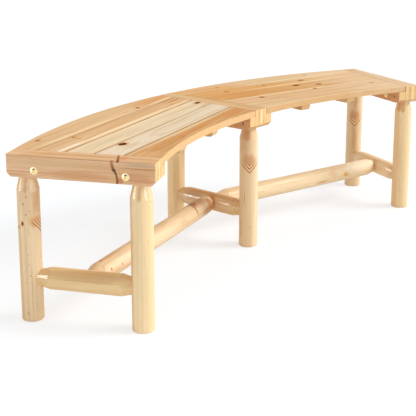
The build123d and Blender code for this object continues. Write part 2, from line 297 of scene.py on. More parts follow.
def banded(t, given, moved, colour):
    """Broad bands, thin streaks and soft clouds of deeper wood along the grain."""
    bands = t.noise(t.scaled(moved, 0.9, 26.0), 3, 0.6)
    start = t.math("SUBTRACT", 0.68, t.math("MULTIPLY", given["Band Share"], 0.36))
    deep = t.rise(bands, start, t.math("ADD", start, 0.16))
    colour = t.part_mix(deep, 0.6, colour, given["Band"])
    streaks = t.noise(t.scaled(moved, 2.4, 150.0), 4, 0.62)
    colour = t.part_mix(t.rise(streaks, 0.48, 0.66), given["Streaks"], colour, given["Late"])
    deeper = t.math("MULTIPLY", given["Streaks"], 0.7)
    colour = t.part_mix(t.rise(streaks, 0.60, 0.74), deeper, colour, given["Band"])
    cloud = t.noise(t.scaled(moved, 2.6, 9.0), 2)
    return t.part_mix(t.rise(cloud, 0.45, 0.75), 0.22, colour, given["Late"])


def fibres(t, moved):
    """Fine fibres, and the brightness that they and short pitch flecks leave."""
    fibre = t.noise(t.scaled(moved, 22.0, 900.0), 3, 0.65)
    fleck = t.rise(t.noise(t.scaled(moved, 34.0, 420.0), 1), 0.70, 0.77)
    return fibre, t.math("MULTIPLY", t.between(fibre, 0.88, 1.12), t.math("MULTIPLY_ADD", fleck, -0.24, 1.0))


def sided(t, given, late, colour):
    """The colour with upright sides in their own tone and with end grain: share of end grain and colour."""
    normal = t.split(given["Normal"])
    end = t.rise(t.math("ABSOLUTE", normal[0]), 0.80, 0.95)
    side = t.fall(t.math("ABSOLUTE", normal[2]), 0.30, 0.60)
    colour = t.part_mix(side, given["Side Share"], colour, given["Side"])
    end_colour = t.part_mix(late, 0.45, given["End"], given["Late"])
    return end, t.mix(end, colour, end_colour)


def knotted(t, knot, colour):
    """The colour with knots: a brown heart with its own rings, a darker bark line and a wide warm halo."""
    colour = t.part_mix(t.fall(knot, 0.8, 2.1), 0.75, colour, KNOT_HALO)
    heart = t.mix(t.math("FRACT", t.math("MULTIPLY", knot, 3.4)), KNOT_HEART, KNOT_HEART_RING)
    colour = t.mix(t.fall(knot, 0.70, 1.15), colour, heart)
    bark = t.math("MULTIPLY", t.rise(knot, 0.55, 0.80), t.fall(knot, 0.85, 1.10))
    return bark, t.part_mix(bark, 0.7, colour, KNOT_BARK)


def make_wood_group():
    """Growth rings about a pith, bands, fibres, pitch flecks, end grain and knots, moved about by a seed."""
    group, t, given, out = new_group(
        "softwood",
        {
            VECTOR: "Position, Normal, Pith",
            VALUE: "Seed, Spacing, Wander, Side Share, Band Share, Rings, Skin, Knot, Streaks",
            COLOUR: "Early, Late, Band, End, Side",
        },
        {COLOUR: "Colour", VALUE: "Roughness, Height"},
    )
    shift = t.join(*[t.math("MULTIPLY", given["Seed"], factor) for factor in (3.71, 1.93, 2.57)])
    moved = t.vector("ADD", given["Position"], shift)
    late, ring, colour = growth_rings(t, given, moved)
    colour = banded(t, given, moved, colour)
    fibre, brightness = fibres(t, moved)
    end, colour = sided(t, given, late, colour)
    bark, colour = knotted(t, given["Knot"], colour)
    t.put(out["Colour"], t.vector("MULTIPLY", colour, t.join(brightness, brightness, brightness)))
    rough = t.math("MULTIPLY_ADD", fibre, 0.16, 0.34)
    rough = t.math("MULTIPLY_ADD", end, 0.15, rough)
    t.put(out["Roughness"], t.math("MULTIPLY_ADD", ring, -0.05, rough))
    height = t.math("MULTIPLY_ADD", ring, 0.25, t.math("MULTIPLY", fibre, 0.55))
    t.put(out["Height"], t.math("MULTIPLY_ADD", bark, -0.5, height))
    return group


# Marks on the wood: knots, stains, painted highlights and shade, branch ridges and joint lines

RIDGE_PALE = srgb(250, 206, 152)
RIDGE_DARK = srgb(112, 50, 20)
# Colour of the joint lines: partly the joint's own colour, partly painted shade in the gaps
JOINT_DARK = srgb(128, 68, 30)
FAR = 40.0  # distance from a knot where there is none, in knot radii


def ragged(t, position, along, across, reach):
    """The position, pushed about by fine noise so that an outline drawn from it is uneven."""
    return t.vector("MULTIPLY_ADD", t.push(t.scaled(position, along, across), 3), reach, position)


def make_knot_group():
    """Distance from a knot's middle in knot radii, with a ragged outline; keeps the nearer of two."""
    inputs = {VECTOR: "Position, Centre, Size", VALUE: "Other"}
    group, t, given, out = new_group("knot", inputs, {VALUE: "Distance"})
    position = ragged(t, given["Position"], 130.0, 170.0, (0.007, 0.005, 0.005))
    relative = t.vector("DIVIDE", t.vector("SUBTRACT", position, given["Centre"]), given["Size"])
    t.put(out["Distance"], t.math("MINIMUM", t.vector("LENGTH", relative), given["Other"]))
    return group


def make_stain_and_painted_light_group():
    """Soft patch of another colour, streaked along the grain; it paints stains, painted highlights and
    painted shade.
    """
    inputs = {COLOUR: "Base, Colour", VECTOR: "Position, Centre, Size", VALUE: "Strength"}
    group, t, given, out = new_group("stain_and_painted_light", inputs, {COLOUR: "Colour"})
    position = ragged(t, given["Position"], 12.0, 90.0, t.scaled(given["Size"], 0.9, 0.9))
    relative = t.vector("DIVIDE", t.vector("SUBTRACT", position, given["Centre"]), given["Size"])
    inside = t.fall(t.vector("LENGTH", relative), 0.35, 1.15)
    t.put(out["Colour"], t.part_mix(inside, given["Strength"], given["Base"], given["Colour"]))
    return group


def make_ridge_group():
    """Bark ridge of a lost branch on a log: nested dark V lines, pale between, that climb from an apex."""
    inputs = {COLOUR: "Base", VECTOR: "Position", VALUE: "Apex, Turn, Reach, Height, Pitch"}
    group, t, given, out = new_group("branch_ridge", inputs, {COLOUR: "Colour"})
    position = t.split(ragged(t, given["Position"], 70.0, 110.0, (0.0016, 0.0012, 0.0012)))
    turn = t.math("SUBTRACT", t.math("ARCTAN2", position[1], position[2]), given["Turn"])
    arc = t.math("MULTIPLY", t.math("ABSOLUTE", turn), LOG_RADIUS)
    rise = t.math("SUBTRACT", position[0], given["Apex"])
    climb = t.math("SUBTRACT", rise, arc)
    phase = t.math("FRACT", t.math("DIVIDE", climb, given["Pitch"]))
    line = t.math("MULTIPLY", t.rise(phase, 0.02, 0.12), t.fall(phase, 0.34, 0.44))
    below_top = t.fall(rise, given["Height"], t.math("MULTIPLY", given["Height"], 1.25))
    within_reach = t.fall(arc, t.math("MULTIPLY", given["Reach"], 0.8), given["Reach"])
    faded = t.math("MULTIPLY", t.rise(climb, -0.0006, 0.0006), below_top)
    faded = t.math("MULTIPLY", faded, within_reach)
    colour = t.part_mix(faded, 0.8, given["Base"], RIDGE_PALE)
    t.put(out["Colour"], t.part_mix(t.math("MULTIPLY", line, faded), 0.85, colour, RIDGE_DARK))
    return group


def make_joint_group():
    """Dark line where a board's long edge meets its neighbour's, uneven along its length: partly the joint's
    own colour, partly painted shade in the gap.
    """
    inputs = {COLOUR: "Base", VECTOR: "Position", VALUE: "Edge, Strength, Seed"}
    group, t, given, out = new_group("joint", inputs, {COLOUR: "Colour"})
    position = t.split(given["Position"])
    away = t.math("ABSOLUTE", t.math("SUBTRACT", position[1], given["Edge"]))
    line = t.fall(away, 0.0016, 0.0034)
    patchy = t.noise(t.join(t.math("MULTIPLY", position[0], 6.0), given["Seed"], 0), 3)
    amount = t.math("MULTIPLY", line, t.between(patchy, 0.45, 1.35))
    amount = t.math("MULTIPLY", amount, given["Strength"], clamp=True)
    t.put(out["Colour"], t.mix(amount, given["Base"], JOINT_DARK))
    return group


WOOD = make_wood_group()
KNOT = make_knot_group()
STAIN_AND_PAINTED_LIGHT = make_stain_and_painted_light_group()
RIDGE = make_ridge_group()
JOINT = make_joint_group()


# Patch of colour, used for stains and for painted highlights and shade
def stain_and_painted_light(centre, size, colour, strength):
    return STAIN_AND_PAINTED_LIGHT, {"Centre": centre, "Size": size, "Colour": srgb(*colour), "Strength": strength}


def joint(edge, strength, seed):
    return JOINT, {"Edge": edge, "Strength": strength, "Seed": seed}


def ridge(apex, turn, reach, height=0.027, pitch=0.0118):
    values = {"Apex": apex, "Turn": math.radians(-turn), "Reach": reach, "Height": height, "Pitch": pitch}
    return RIDGE, values


# Wood materials and tones

GRAIN_DEPTH = 0.0006
GRAIN_STRENGTH = 0.35
COAT_ROUGHNESS = 0.14
COAT_IOR = 2.2
WOOD_SEEDS = 30
EARLY_TINT = (1.07, 1.10, 1.16)
LATE_TINT = (0.84, 0.72, 0.56)
BAND_TINT = (0.86, 0.75, 0.62)
END_GRAIN = srgb(240, 205, 150)
LOG_SPACING = 0.0030
LOG_WANDER = 0.010


def wood_material(
    name, place, wood, seed, pith, knots=(), marks=(), skin=0.0, side_share=0.0, coat=0.0, gloss=0.0
):
    """Wood for one piece. Knots are (centre, size), and both they and the marks are in the piece's place."""
    material = bpy.data.materials.new(name)
    t = emptied(material)
    coordinates = t.node("ShaderNodeTexCoord").outputs
    local = t.into(coordinates["Object"], place, place.translation)
    distance = FAR
    for centre, size in knots:
        made = t.group(KNOT, {"Position": local, "Centre": centre, "Size": size, "Other": distance})
        distance = made.outputs[0]
    values = {
        "Position": local, "Normal": t.into(coordinates["Normal"], place), "Pith": pith, "Seed": seed,
        "Skin": skin, "Knot": distance, "Side Share": side_share, **wood,
    }
    grain = t.group(WOOD, values).outputs
    colour = grain["Colour"]
    for group, values in marks:
        colour = t.group(group, {"Base": colour, "Position": local, **values}).outputs[0]
    relief = {"Height": grain["Height"], "Distance": GRAIN_DEPTH, "Strength": GRAIN_STRENGTH}
    bump = t.node("ShaderNodeBump", relief).outputs[0]
    inputs = {
        "Base Color": colour, "Roughness": grain["Roughness"], "Normal": bump, "Specular IOR Level": gloss,
        "Coat Weight": coat, "Coat Roughness": COAT_ROUGHNESS, "Coat IOR": COAT_IOR,
    }
    t.surface("ShaderNodeOutputMaterial", t.node("ShaderNodeBsdfPrincipled", inputs))
    return material


def wood_tone(red, green, blue, share=0.35, rings=0.8, streaks=0.62, spacing=0.0042, wander=0.022):
    """Inputs of the wood group for a piece of one average display colour."""
    tone = srgb(red, green, blue)
    return {
        "Early": tinted(tone, *EARLY_TINT), "Late": tinted(tone, *LATE_TINT),
        "Band": tinted(tone, *BAND_TINT), "End": END_GRAIN, "Side": tone,
        "Band Share": share, "Rings": rings, "Streaks": streaks, "Spacing": spacing, "Wander": wander,
    }


def log_tone(red, green, blue, share=0.25, rings=0.35, streaks=0.28):
    """The same for a log that is turned about its own pith."""
    return wood_tone(red, green, blue, share, rings, streaks, LOG_SPACING, LOG_WANDER)


CREAM = wood_tone(226, 203, 167, share=0.25, rings=0.6)
PALE = wood_tone(224, 204, 173, share=0.20, rings=0.6)
STRAW = wood_tone(222, 190, 148, share=0.40, rings=0.7)
HONEY = wood_tone(219, 182, 138, share=0.40, rings=0.7)
ORANGE = wood_tone(215, 170, 116, share=0.50, rings=0.8)
RUST = wood_tone(208, 163, 113, share=0.50, rings=0.9)
PINK = wood_tone(231, 192, 152, share=0.50, rings=0.9, spacing=0.0034)
CLEAT = wood_tone(218, 167, 122, share=0.45, rings=0.7)
STREAKED = wood_tone(228, 200, 166, share=0.55, rings=1.0, streaks=1.0, spacing=0.0034)
LOG_CLEAR = log_tone(244, 217, 169, share=0.10, rings=0.12, streaks=0.15)
LOG_BRIGHT = log_tone(251, 223, 173, share=0.10, rings=0.12, streaks=0.15)
LOG_ROSY = log_tone(239, 211, 169)
LOG_PALE = log_tone(238, 214, 174)
LOG = log_tone(240, 211, 169)
LOG_DUN = log_tone(231, 203, 162)
LOG_WARM = log_tone(239, 208, 156, share=0.45, rings=0.55, streaks=0.45)
LOG_BROWN = log_tone(231, 198, 151, share=0.45, rings=0.55, streaks=0.50)
LOG_TAN = log_tone(222, 192, 151, share=0.35, rings=0.45, streaks=0.45)


def dress(node, material):
    """Gives a CAD node its material."""
    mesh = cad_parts[node].data
    mesh.materials.clear()
    mesh.materials.append(material)


# Seat boards: places are along the board from the module's middle, and out from the line between its rails

TOP = SEAT_TOP - BOARD_BOTTOM
BOARD_END = 0.410
KNOT_DEPTH = 0.05
STAIN_DEPTH = 0.02
FRONT_SIDE_SHARE = 0.8
BOARD_WOODS = {"left": [HONEY, HONEY, CREAM, PALE, RUST], "right": [STRAW, ORANGE, ORANGE, HONEY, STRAW]}
EDGE_TONES = {"left": srgb(231, 193, 142), "right": srgb(213, 171, 120)}

# Knots by module and board: place, half length and half width
BOARD_KNOTS = {
    ("left", 1): [(0.195, 0.166, 0.007, 0.005)],
    ("left", 3): [(0.345, 0.030, 0.013, 0.008)],
    ("left", 4): [(-0.238, -0.029, 0.014, 0.010)],
    ("right", 1): [(-0.228, 0.181, 0.006, 0.006), (0.190, 0.194, 0.006, 0.006)],
    ("right", 2): [
        (-0.248, 0.102, 0.009, 0.008), (-0.067, 0.122, 0.005, 0.005), (0.106, 0.1205, 0.010, 0.008),
    ],
    ("right", 3): [(0.024, 0.056, 0.014, 0.011), (0.106, 0.0245, 0.012, 0.009)],
    ("right", 4): [
        (-0.212, -0.045, 0.009, 0.008), (0.038, -0.027, 0.008, 0.008), (0.278, -0.067, 0.008, 0.008),
    ],
}

# Stains and painted highlights by module and board: place, half length, half width, colour and strength
# Pale strip along a board near a gap: partly pale wood, partly a painted highlight of the eased edge
PALE_WOOD_AND_HIGHLIGHT = (247, 221, 178)
BOARD_STAINS_AND_HIGHLIGHTS = {
    ("left", 1): [
        (0.32, 0.180, 0.14, 0.035, (216, 150, 92), 0.6), (-0.15, 0.156, 0.30, 0.009, PALE_WOOD_AND_HIGHLIGHT, 0.7),
        (0.33, 0.154, 0.11, 0.008, PALE_WOOD_AND_HIGHLIGHT, 0.7), (-0.300, 0.196, 0.016, 0.010, (206, 134, 82), 0.7),
        (-0.300, 0.197, 0.0085, 0.0055, (132, 66, 34), 0.95),
        (-0.303, 0.194, 0.003, 0.002, (186, 116, 70), 0.8),
    ],
    ("left", 2): [
        (0.00, 0.078, 0.52, 0.012, PALE_WOOD_AND_HIGHLIGHT, 0.9), (-0.34, 0.080, 0.09, 0.010, (250, 236, 212), 0.8),
        (0.35, 0.115, 0.06, 0.005, (186, 110, 52), 0.85), (0.34, 0.138, 0.08, 0.004, (150, 74, 38), 0.8),
        (-0.232, 0.110, 0.005, 0.018, (198, 132, 74), 0.8), (0.05, 0.105, 0.30, 0.012, (216, 160, 102), 0.4),
        (-0.226, 0.132, 0.014, 0.008, (202, 132, 78), 0.6),
        (-0.226, 0.132, 0.007, 0.005, (138, 74, 36), 0.9),
    ],
    ("left", 3): [(0.00, 0.054, 0.45, 0.008, PALE_WOOD_AND_HIGHLIGHT, 0.5), (-0.20, -0.004, 0.20, 0.008, PALE_WOOD_AND_HIGHLIGHT, 0.5)],
    ("left", 4): [
        (-0.32, -0.050, 0.060, 0.03, (238, 216, 192), 0.6),
        (-0.13, -0.048, 0.080, 0.03, (236, 214, 188), 0.4),
    ],
    ("left", 5): [
        (-0.02, -0.101, 0.42, 0.010, (240, 206, 160), 0.7),
        (0.27, -0.135, 0.12, 0.022, (206, 138, 84), 0.65), (-0.02, -0.128, 0.40, 0.012, (214, 148, 88), 0.6),
        (-0.31, -0.140, 0.06, 0.030, (226, 182, 132), 0.5),
    ],
    ("right", 1): [(-0.28, 0.170, 0.20, 0.05, (222, 160, 100), 0.6), (0.14, 0.164, 0.32, 0.009, PALE_WOOD_AND_HIGHLIGHT, 0.7)],
    ("right", 2): [(-0.20, 0.100, 0.30, 0.05, (222, 160, 98), 0.5), (0.10, 0.086, 0.36, 0.010, PALE_WOOD_AND_HIGHLIGHT, 0.7)],
    ("right", 3): [
        (-0.26, 0.030, 0.20, 0.05, (214, 148, 90), 0.6), (0.24, 0.030, 0.16, 0.05, (222, 184, 138), 0.5),
    ],
    ("right", 4): [
        (-0.02, -0.018, 0.44, 0.012, PALE_WOOD_AND_HIGHLIGHT, 0.7), (-0.10, -0.060, 0.36, 0.020, (224, 178, 136), 0.5),
    ],
    ("right", 5): [(0.00, -0.110, 0.40, 0.040, (226, 184, 142), 0.5)],
}
# Strength of each joint line, partly painted shade in the gaps; weaker on the right module
JOINT_STRENGTH = {"left": [0.40, 0.55, 0.62, 0.72], "right": [0.15, 0.15, 0.2, 0.2]}


def joint_marks(module_name, index):
    """Dark lines where a board meets its neighbours, partly painted shade in the gaps, with a spot of painted
    shade at the left module's inner end.
    """
    marks = []
    for edge in (index - 1, index):
        if 0 <= edge < BOARDS - 1:
            place = BACK_GAP - edge * BOARD_PITCH
            strength = JOINT_STRENGTH[module_name][edge]
            marks.append(joint(place, strength, edge + BOARDS * MODULES[module_name]))
            if module_name == "left":
                end = BOARD_END + (place - BACK_GAP) * math.tan(END_PLACE / 2)
                # Painted shade: dark spot where a gap between boards meets the centre rail
                marks.append(stain_and_painted_light((end, place, TOP), (0.006, 0.005, 0.01), (96, 52, 24), 0.8))
    return marks


def board_marks(module_name, index, middle):
    """Stains and joints of one board; a painted sheen makes the right module paler towards its outer end."""
    marks = [
        stain_and_painted_light((x, y, TOP), (along, across, STAIN_DEPTH), colour, strength)
        for x, y, along, across, colour, strength in BOARD_STAINS_AND_HIGHLIGHTS.get((module_name, index + 1), ())
    ]
    if module_name == "right":
        # Painted sheen: the right module grows paler towards its outer end
        marks.append(stain_and_painted_light((0.42, middle, TOP), (0.36, 0.09, 0.05), (238, 208, 174), 0.5))
    return marks + joint_marks(module_name, index)


chance = random.Random(7)
for module_name, module in MODULES.items():
    place = module_place(module, BOARD_BOTTOM)
    for index in range(BOARDS):
        name = f"board_{module_name}_{index + 1}"
        middle = BACK_GAP + BOARD_PITCH / 2 - index * BOARD_PITCH
        pith = (0, middle + chance.uniform(-0.03, 0.03), chance.uniform(-0.09, -0.04))
        knots = [
            ((x, y, TOP), (along, across, KNOT_DEPTH))
            for x, y, along, across in BOARD_KNOTS.get((module_name, index + 1), ())
        ]
        marks = board_marks(module_name, index, middle)
        wood = dict(BOARD_WOODS[module_name][index], Side=EDGE_TONES[module_name])
        share = FRONT_SIDE_SHARE if index == BOARDS - 1 else 0.0
        seed = chance.uniform(0, WOOD_SEEDS)
        dress(name, wood_material(name, place, wood, seed, pith, knots, marks, side_share=share))


# Rails: places are along the rail to its back end, out to its left, and up from its bottom

OUTER_FACE = HALF_RAIL
RAIL_TOP = SEAT_TOP - RAIL_BOTTOM
RAIL_END = 0.200
RAIL_PITH_DROP = -0.05
RAIL_WOODS = {"left": PINK, "centre": HONEY, "right": dict(STREAKED, Side=srgb(214, 180, 138))}
RAIL_SIDE_SHARES = {"left": 0.0, "centre": 0.0, "right": 0.8}

# Stains of the left rail: place, half sizes, colour and strength
LEFT_RAIL_STAINS = [
    ((0.00, OUTER_FACE, 0.0580), (0.30, 0.010, 0.0012), (160, 102, 62), 0.6),
    ((-0.16, OUTER_FACE, 0.052), (0.05, 0.004, 0.006), (190, 166, 140), 0.6),
    ((-0.16, OUTER_FACE, 0.042), (0.07, 0.004, 0.002), (182, 116, 76), 0.7),
    ((-0.15, OUTER_FACE, 0.018), (0.06, 0.004, 0.014), (206, 142, 96), 0.6),
    ((0.00, OUTER_FACE, 0.016), (0.12, 0.004, 0.012), (208, 146, 100), 0.6),
    ((0.16, OUTER_FACE, 0.016), (0.06, 0.004, 0.002), (196, 118, 78), 0.35),
    ((0.18, OUTER_FACE, 0.008), (0.06, 0.004, 0.004), (206, 124, 74), 0.35),
    ((0.06, OUTER_FACE, 0.044), (0.20, 0.004, 0.010), (218, 184, 140), 0.5),
    ((-0.107, OUTER_FACE, 0.009), (0.010, 0.006, 0.011), (196, 120, 92), 0.7),
    ((-0.0895, OUTER_FACE, 0.013), (0.0075, 0.006, 0.010), (222, 184, 128), 0.95),
    ((0.00, 0.004, RAIL_TOP), (0.30, 0.040, 0.003), (206, 160, 112), 0.5),
    ((0.00, 0.000, RAIL_TOP), (0.26, 0.006, 0.003), (196, 142, 92), 0.6),
    ((-0.108, 0.000, RAIL_TOP), (0.014, 0.022, 0.006), (212, 138, 92), 0.6),
]

# The crack down the outer face of the left rail: along, height, half width and colour
CRACK_FACE = [
    (-0.0862, 0.058, 0.0060, (180, 122, 92)), (-0.0868, 0.050, 0.0056, (172, 112, 84)),
    (-0.0882, 0.043, 0.0054, (150, 90, 66)), (-0.0918, 0.036, 0.0062, (84, 38, 26)),
    (-0.0948, 0.030, 0.0034, (92, 52, 30)), (-0.0972, 0.024, 0.0028, (96, 62, 34)),
    (-0.0990, 0.018, 0.0028, (108, 68, 38)), (-0.0996, 0.012, 0.0034, (132, 74, 48)),
    (-0.0994, 0.006, 0.0042, (138, 78, 52)), (-0.0988, 0.000, 0.0044, (138, 78, 52)),
]

# The same crack across its top: along, out, half width and colour
CRACK_TOP = [
    (-0.1010, 0.026, 0.0050, (116, 62, 38)), (-0.0992, 0.018, 0.0044, (110, 56, 32)),
    (-0.0962, 0.009, 0.0044, (132, 72, 42)), (-0.0940, 0.000, 0.0034, (150, 88, 54)),
    (-0.0915, -0.009, 0.0038, (156, 92, 58)), (-0.0888, -0.018, 0.0042, (150, 84, 48)),
    (-0.0870, -0.026, 0.0036, (160, 94, 58)),
]

# Stripes of end grain on a rail's front end: out, half width and colour
END_PALE = (255, 242, 204)
END_DEEP = (214, 158, 92)
END_STRIPES = [
    (-0.023, 0.0050, END_PALE), (-0.010, 0.0065, END_DEEP), (0.002, 0.0040, END_PALE),
    (0.014, 0.0075, END_DEEP),
]
STRIPE_HEIGHTS = (0.012, 0.030, 0.048)
STRIPE_HALF_HEIGHT = 0.016
stripe_chance = random.Random(31)


def left_rail_marks():
    """Stains of the left rail, with the crack down its outer face and across its top."""
    marks = [stain_and_painted_light(*row) for row in LEFT_RAIL_STAINS]
    for along, height, half_width, colour in CRACK_FACE:
        marks.append(stain_and_painted_light((along, OUTER_FACE, height), (half_width, 0.006, 0.0062), colour, 0.9))
    for along, out, half_width, colour in CRACK_TOP:
        marks.append(stain_and_painted_light((along, out, RAIL_TOP), (half_width, 0.0075, 0.006), colour, 0.9))
    return marks


def end_stripes():
    """Leaning stripes on the front end of one rail, each a column of three stains of uneven strength."""
    marks = []
    slip = stripe_chance.uniform(-0.005, 0.005)
    for out, half_width, colour in END_STRIPES:
        lean = stripe_chance.uniform(-0.10, 0.10)
        for height in STRIPE_HEIGHTS:
            centre = (-RAIL_END, out + slip + lean * (height - RAIL_TOP / 2), height)
            size = (0.003, half_width, STRIPE_HALF_HEIGHT)
            marks.append(stain_and_painted_light(centre, size, colour, stripe_chance.uniform(0.2, 0.6)))
    return marks


for rail_name, rail in RAILS.items():
    name = f"rail_{rail_name}"
    place = rail_place(rail, RAIL_BOTTOM)
    pith = (0, chance.uniform(-0.02, 0.02), RAIL_PITH_DROP)
    marks = (left_rail_marks() if rail_name == "left" else []) + end_stripes()
    wood = RAIL_WOODS[rail_name]
    share = RAIL_SIDE_SHARES[rail_name]
    seed = chance.uniform(0, WOOD_SEEDS)
    dress(name, wood_material(name, place, wood, seed, pith, (), marks, side_share=share))


# Cleats and battens

CLEAT_PITH_OUT = 0.05
BATTEN_PITH = (0, 0.05, -0.06)

for cleat_name, (rail, facing) in CLEATS.items():
    name = f"cleat_{cleat_name}"
    pith = (0, -facing * CLEAT_PITH_OUT, chance.uniform(0.0, 0.06))
    seed = chance.uniform(0, WOOD_SEEDS)
    dress(name, wood_material(name, rail_place(rail, RAIL_BOTTOM), CLEAT, seed, pith))

for module_name, module in MODULES.items():
    middle = module_place(module, 0)
    along = middle.to_3x3() @ Vector((0, 1, 0))
    place = place_on(middle.translation + UP * BATTEN_BOTTOM, along, UP)
    for batten_name in ("outer", "inner"):
        name = f"batten_{module_name}_{batten_name}"
        dress(name, wood_material(name, place, HONEY, chance.uniform(0, WOOD_SEEDS), BATTEN_PITH))


# Logs: turned rounds whose necks are cut by hand with flat facets

FACET_PAIRS = 7
NARROW_ROOT = 0.0310  # distances of the flats' planes from the axis, at a neck's root and tip
NARROW_TIP = 0.0207
WIDE_ROOT = 0.0299
WIDE_TIP = 0.0196
NECK_REACH = NECK_LENGTH * 1.6
LOG_SIDES = 96
RING_STEP = 0.008
WAVES = 4
FOOT_BEVEL = [(0.0, -0.0026), (0.0007, -0.0012), (0.0026, 0.0)]
LOG_COAT = 0.11
LOG_GLOSS = 0.01
SKIN_DEPTH = 0.0005


def facet_planes(turn, seed):
    """Flats round a neck, narrow and wide by turns, as angle, root and tip; a narrow one lies at the turn."""
    rng = random.Random(seed)
    planes = []
    for pair in range(FACET_PAIRS):
        narrow = -turn + pair * 360 / FACET_PAIRS + rng.uniform(-2, 2)
        wide = narrow + 180 / FACET_PAIRS + rng.uniform(-3, 3)
        root = NARROW_ROOT + rng.uniform(0, 0.0003)
        tip = NARROW_TIP + rng.uniform(-0.0002, 0.0002)
        planes.append((math.radians(narrow), root, tip))
        root = WIDE_ROOT + rng.uniform(0, 0.0006)
        tip = WIDE_TIP + rng.uniform(-0.0004, 0.0004)
        planes.append((math.radians(wide), root, tip))
    return planes


def uneven_waves(rng):
    """Slow waves over a log's round, each as size, order round it, pace along it and phase."""
    return [
        (rng.uniform(0.00010, 0.00025), rng.choice((2, 3, 5)), rng.uniform(8, 26), rng.uniform(0, 6.3))
        for _ in range(WAVES)
    ]


def log_stations(length, starts_with_neck):
    """Places of a log's rings along it, each with the inset of its radius; a foot has a small bevel."""
    start = [(0.0, 0.0)] if starts_with_neck else FOOT_BEVEL
    inner = [(RING_STEP * k, 0.0) for k in range(1, int(length / RING_STEP))]
    return start + inner + [(length, 0.0)]


def round_log(stations, waves):
    """Closed, slightly uneven round along X."""
    bm = bmesh.new()
    rings = []
    for x, inset in stations:
        ring = []
        for k in range(LOG_SIDES):
            angle = 2 * math.pi * k / LOG_SIDES
            swell = sum(
                size * (math.sin(order * angle + phase + x * pace) - 1) for size, order, pace, phase in waves
            )
            radius = LOG_RADIUS + inset + swell / 2
            ring.append(bm.verts.new((x, radius * math.cos(angle), radius * math.sin(angle))))
        rings.append(ring)
    for first, second in zip(rings, rings[1:]):
        for k in range(LOG_SIDES):
            after = (k + 1) % LOG_SIDES
            bm.faces.new((first[k], second[k], second[after], first[after])).smooth = True
    bm.faces.new(rings[0])
    bm.faces.new(list(reversed(rings[-1])))
    bmesh.ops.recalc_face_normals(bm, faces=bm.faces)
    return bm


def cut_flat(bm, tip, root, flat):
    """Cuts away what lies outside one flat of a neck and closes the cut with a sharp-edged face."""
    angle, root_depth, tip_depth = flat
    outward = Vector((0, math.sin(angle), math.cos(angle)))
    slope = (root_depth - tip_depth) / (tip - root)
    normal = (outward + Vector((slope, 0, 0))).normalized()
    point = Vector((tip, 0, 0)) + outward * tip_depth
    near = [f for f in bm.faces if abs(f.calc_center_median().x - tip) < NECK_REACH or len(f.verts) > 4]
    parts = set(near) | {e for f in near for e in f.edges} | {v for f in near for v in f.verts}
    cut = bmesh.ops.bisect_plane(bm, geom=list(parts), plane_co=point, plane_no=normal, clear_outer=True)
    edges = [e for e in cut["geom_cut"] if isinstance(e, bmesh.types.BMEdge) and e.is_boundary]
    filled = bmesh.ops.edgeloop_fill(bm, edges=edges)["faces"] if edges else []
    for face in filled:
        face.smooth = False
        for edge in face.edges:
            edge.smooth = False


def log_mesh(name, length, turns, seed):
    """Log along X from 0; turns gives the turn of a narrow flat for the neck at its start, 0, or end, 1."""
    bm = round_log(log_stations(length, 0 in turns), uneven_waves(random.Random(seed)))
    for neck, turn in turns.items():
        tip = length if neck else 0.0
        root = length - NECK_LENGTH if neck else NECK_LENGTH
        for flat in facet_planes(turn, seed * 2 + neck):
            cut_flat(bm, tip, root, flat)
    bmesh.ops.recalc_face_normals(bm, faces=bm.faces)
    mesh = bpy.data.meshes.new(name)
    bm.to_mesh(mesh)
    bm.free()
    return mesh


def add_log(node, place, length, turns, seed, wood, knots=(), marks=()):
    """Dressed log in the place of a CAD node."""
    mesh = log_mesh(node, length, turns, seed)
    mesh.transform(place)
    piece = new_object(f"{node}_log", mesh)
    rng = random.Random(seed)
    pith = (0, rng.uniform(-0.004, 0.004), rng.uniform(-0.004, 0.004))
    material = wood_material(
        piece.name, place, wood, rng.uniform(0, WOOD_SEEDS), pith, knots, marks,
        skin=LOG_RADIUS - SKIN_DEPTH, coat=LOG_COAT, gloss=LOG_GLOSS,
    )
    mesh.materials.append(material)
    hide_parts(node)
    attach(piece, "root")


def on_round(along, turn):
    """Point on a log's surface, at a turn in degrees about its axis from the way its Z faces."""
    angle = math.radians(-turn)
    return (along, LOG_RADIUS * math.sin(angle), LOG_RADIUS * math.cos(angle))


# Patch on a log's round, used for stains and for painted highlights and shade
def round_stain_and_painted_light(along, turn, half_length, half_width, colour, strength):
    return stain_and_painted_light(on_round(along, turn), (half_length, half_width, half_width), colour, strength)


def round_stains_and_painted_light(rows):
    return [round_stain_and_painted_light(*row) for row in rows]


def round_knot(along, turn, half_length, half_width):
    return on_round(along, turn), (half_length, half_width, half_width)


# Legs: X of a leg's place runs up and its Z faces the front left, from which turns are counted to the right

FRONT_LEFT = Vector((-0.774, -0.633, 0))
LEG_NECK_TURN = -39
PIN = (140, 98, 52)
CUT = (206, 148, 96)
CUT_PLACES = ((0.366, 0.0275), (0.384, 0.0225))
LEG_WOODS = {
    "leg_left_front": LOG_CLEAR, "leg_left_back": LOG_ROSY, "leg_centre_front": LOG_ROSY,
    "leg_centre_back": LOG_BRIGHT, "leg_right_front": LOG_CLEAR, "leg_right_back": LOG_DUN,
}

# Deeper flats of a neck: turn and half width
NECK_FLATS = {
    "leg_left_front": [(-9, 0.007), (42, 0.007)],
    "leg_left_back": [(-4, 0.006)],
    "leg_centre_front": [(-28, 0.012), (-10, 0.010)],
    "leg_right_front": [(-43, 0.010), (-14, 0.007)],
}
LEG_KNOTS = {"leg_left_back": [round_knot(0.272, -26, 0.0045, 0.0035)]}
